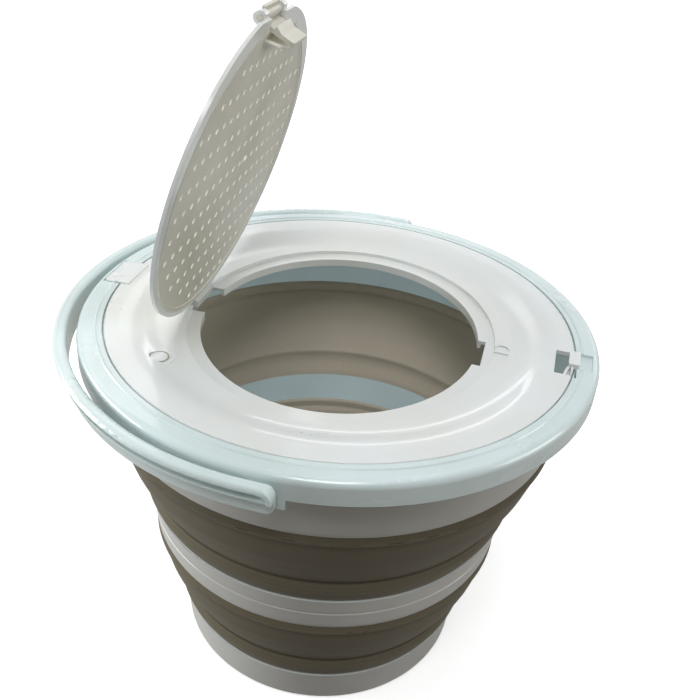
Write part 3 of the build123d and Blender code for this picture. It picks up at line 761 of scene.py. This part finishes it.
@dataclass
class Shell:
    """The bucket below its rim: two soft walls between three rigid rings."""

    walls: list[SoftWall] = field(
        default_factory=lambda: [
            SoftWall("lower_band", "base", "middle", 97.2, 24.5, 101.5, 115.2, 92.9),
            SoftWall("upper_band", "middle", "rim", 117.2, 114.7, 121.8, 138.0, 186.4),
        ]
    )
    rings: tuple[str, ...] = ("base_cup", "middle_ring", "upper_ring")

    def build(self, finishes: Finishes) -> None:
        """Builds the walls and dresses the rings."""
        for wall in self.walls:
            wall.build(finishes)
        for ring in self.rings:
            finishes.coat(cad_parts[ring], Finish.RING)
            LOG.info("dressed %s", ring)


@dataclass
class Top:
    """Rim, handle, lid, hatch and their small pieces."""

    coats: dict[str, Finish] = field(
        default_factory=lambda: {
            "rim_collar": Finish.RIM,
            "handle": Finish.RIM,
            "lid": Finish.LID,
            "lid_catch": Finish.LID,
            "port_grommet": Finish.GASKET,
            "hose_plug": Finish.LID,
            "hatch_hinge_pin": Finish.LID,
            "hatch_frame": Finish.LID,
            "hatch_screen": Finish.SCREEN,
            "hatch_latch": Finish.LATCH,
        }
    )

    def build(self, finishes: Finishes) -> None:
        """Coats the solids of the top."""
        for node, finish in self.coats.items():
            finishes.coat(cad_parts[node], finish)
            LOG.info("coated %s", node)


@dataclass(frozen=True)
class SoftBox:
    """One large soft lamp, aimed at the middle of the bucket."""

    name: str
    place: tuple[float, float, float]
    width: float
    height: float
    power: float
    tint: Colour

    def build(self, target: Vector) -> bpy.types.Object:
        """Hangs the lamp.

        Args:
            target: The point it is aimed at.

        Returns:
            The lamp.
        """
        light = bpy.data.lights.new(self.name, "AREA")
        light.shape = "RECTANGLE"
        light.size = self.width
        light.size_y = self.height
        light.energy = self.power
        light.color = self.tint
        lamp = bpy.data.objects.new(self.name, light)
        lamp.location = self.place
        lamp.rotation_euler = (target - Vector(self.place)).to_track_quat("-Z", "Y").to_euler()
        bpy.context.scene.collection.objects.link(lamp)
        return lamp


@dataclass
class Studio:
    """Floor, world and lamps."""

    half_floor: float = 6.0
    lamp_aim: tuple[float, float, float] = (0.0, 0.0, 0.15)
    reflected: float = 0.3
    sky_from: tuple[float, float, float] = (-0.25, 0.35, 0.90)
    low_sky: Colour = (0.085, 0.075, 0.06)
    high_sky: Colour = (0.43, 0.44, 0.455)
    lamps: tuple[SoftBox, ...] = (
        SoftBox("key_back_left", (-1.1, 1.0, 1.4), 1.8, 0.5, 5.5, (1.0, 0.99, 0.96)),
        SoftBox("overhead", (0.15, 0.2, 1.8), 1.2, 1.2, 4.5, (1.0, 1.0, 1.0)),
        SoftBox("left_wall", (-1.9, -0.35, 0.42), 1.2, 0.8, 34.0, (0.98, 1.0, 0.99)),
        SoftBox("right_wall", (1.8, 0.15, 0.7), 1.0, 0.8, 11.0, (1.0, 1.0, 0.97)),
        SoftBox("back_strip", (0.1, 1.7, 0.85), 2.2, 0.12, 3.5, (1.0, 1.0, 1.0)),
        SoftBox("front_high", (0.10, -0.80, 1.55), 0.5, 0.5, 8.0, (0.98, 1.0, 1.0)),
    )

    def build(self) -> None:
        """Sets the stage."""
        self._floor()
        self._world()
        for lamp in self.lamps:
            lamp.build(Vector(self.lamp_aim))
        bpy.context.scene.view_settings.view_transform = "Standard"
        LOG.info("set the stage")

    def _floor(self) -> None:
        """Lays the paper floor."""
        shape = bmesh.new()
        bmesh.ops.create_grid(shape, x_segments=8, y_segments=8, size=self.half_floor)
        floor = mesh_object("paper_floor", shape)
        floor.data.materials.append(StudioPaper("paper", (0.86, 0.86, 0.86)).material())

    def _world(self) -> None:
        """White surroundings for the camera and reflections, a soft sky from above for the rest."""
        world = bpy.data.worlds.new("studio")
        bpy.context.scene.world = world
        world.use_nodes = True
        graph = NodeGraph(world.node_tree)
        seen = graph.add("ShaderNodeLightPath", output="Is Camera Ray")
        glossy = graph.add("ShaderNodeLightPath", output="Is Glossy Ray")
        through = graph.add("ShaderNodeLightPath", output="Is Transmission Ray")
        bright = (seen + glossy * self.reflected + through).ramp(0.0, 1.0)
        height = graph.add(
            "ShaderNodeVectorMath",
            {"operation": "DOT_PRODUCT"},
            {0: graph.add("ShaderNodeTexCoord", output="Generated"), 1: self.sky_from},
            "Value",
        ).ramp(-0.1, 0.95)
        light = graph.mix(height, self.low_sky, self.high_sky)
        sky = graph.add(
            "ShaderNodeBackground",
            {},
            {"Color": graph.mix(bright, light, WHITE), "Strength": 1.0},
        )
        graph.add("ShaderNodeOutputWorld", {}, {"Surface": sky})


@dataclass
class RaisedCamera:
    """Camera above the rim that looks down on the bucket from the front, in metres and degrees."""

    aim: tuple[float, float, float] = (0.0, 0.0, 0.235)
    distance: float = 0.529
    azimuth: float = 13.0
    elevation: float = 29.79
    yaw: float = -0.71
    pitch: float = -2.26
    roll: float = -4.56
    lens: float = 44.897
    sensor: float = 36.0
    nearest: float = 0.01

    def build(self) -> bpy.types.Object:
        """Places the camera.

        Returns:
            The camera, set as the scene's.
        """
        around, up = math.radians(self.azimuth), math.radians(self.elevation)
        back = Vector(
            (math.sin(around) * math.cos(up), -math.cos(around) * math.cos(up), math.sin(up))
        )
        right = Vector((math.cos(around), math.sin(around), 0.0))
        high = back.cross(right)
        turned = Matrix((right, high, back)).transposed()
        turned = turned @ Matrix.Rotation(math.radians(self.yaw), 3, "Y")
        turned = turned @ Matrix.Rotation(math.radians(self.pitch), 3, "X")
        turned = turned @ Matrix.Rotation(math.radians(-self.roll), 3, "Z")
        data = bpy.data.cameras.new("camera")
        data.lens = self.lens
        data.sensor_width = self.sensor
        data.sensor_fit = "HORIZONTAL"
        data.clip_start = self.nearest
        made = bpy.data.objects.new("camera", data)
        made.matrix_world = Matrix.Translation(
            Vector(self.aim) + back * self.distance
        ) @ turned.to_4x4()
        bpy.context.scene.collection.objects.link(made)
        bpy.context.scene.camera = made
        return made


def main() -> None:
    """Builds the bucket, its stage and its camera."""
    logging.basicConfig(level=logging.INFO, format="%(name)s: %(message)s")
    finishes = Finishes()
    Shell().build(finishes)
    Top().build(finishes)
    Studio().build()
    RaisedCamera().build()


if __name__ == "__main__":
    main()
